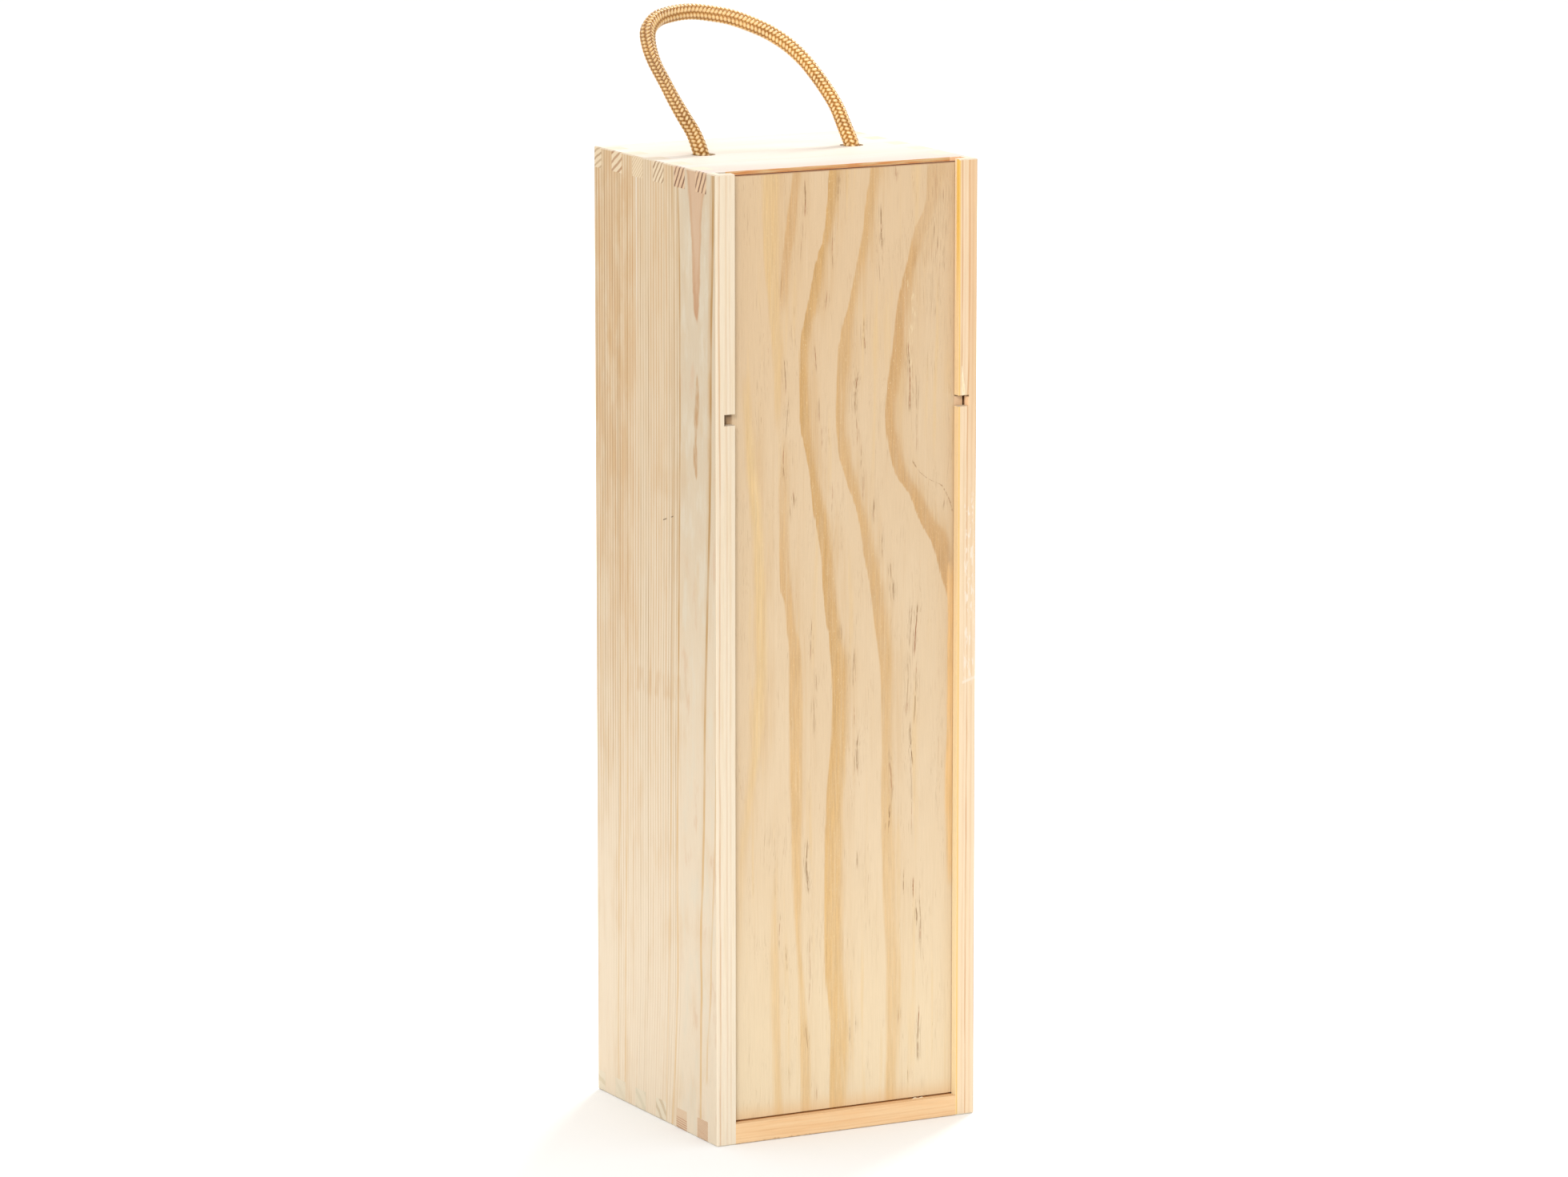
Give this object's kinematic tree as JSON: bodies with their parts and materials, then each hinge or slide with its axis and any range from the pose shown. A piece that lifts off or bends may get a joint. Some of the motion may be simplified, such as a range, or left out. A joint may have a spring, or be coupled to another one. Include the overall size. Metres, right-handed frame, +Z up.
{
  "type": "wooden wine box",
  "caption": "Upright finger-jointed wooden box for one wine bottle, with a lid that slides up out of grooves and a rope handle on top.",
  "frame": {"origin": "middle of the box's base, where it stands, without the rope", "axes": "+Z up along the box's height, the sliding lid faces -Y, +X to the right of someone who looks at the lid"},
  "size_m": [0.105, 0.096, 0.4],
  "materials": {
    "pine_side": "bare sanded pine, straight grain up the board",
    "pine_top": "bare sanded pine, end grain showing on its fingers",
    "pine_bottom": "bare sanded pine, end grain showing on its fingers",
    "plywood_back": "bare plywood, rotary-cut face",
    "brad_steel": "bright steel brads",
    "plywood_lid": "bare plywood, rotary-cut face with broad wavy figure and a browned top edge",
    "gold_rope": "braided glossy synthetic cord"
  },
  "bodies": {
    "box": {"left_side": "pine_side", "right_side": "pine_side", "top_board": "pine_top", "bottom_board": "pine_bottom", "back_panel": "plywood_back", "back_brads": "brad_steel", "rope_knot_left": "gold_rope", "rope_knot_right": "gold_rope"},
    "lid": {"sliding_lid": "plywood_lid"},
    "rope_loop": {"rope_handle": "gold_rope"}
  },
  "joints": [
    {"name": "lid_slide", "type": "slide", "parent": "box", "child": "lid", "axis": [0, 0, 1], "range_m": [0, 0.345]},
    {"name": "handle_swing", "type": "hinge", "parent": "box", "child": "rope_loop", "pos_m": [0.001, 0.007, 0.35], "axis": [1, 0, 0], "range_deg": [-15, 50], "stiffness_Nm_per_rad": 0.02}
  ]
}
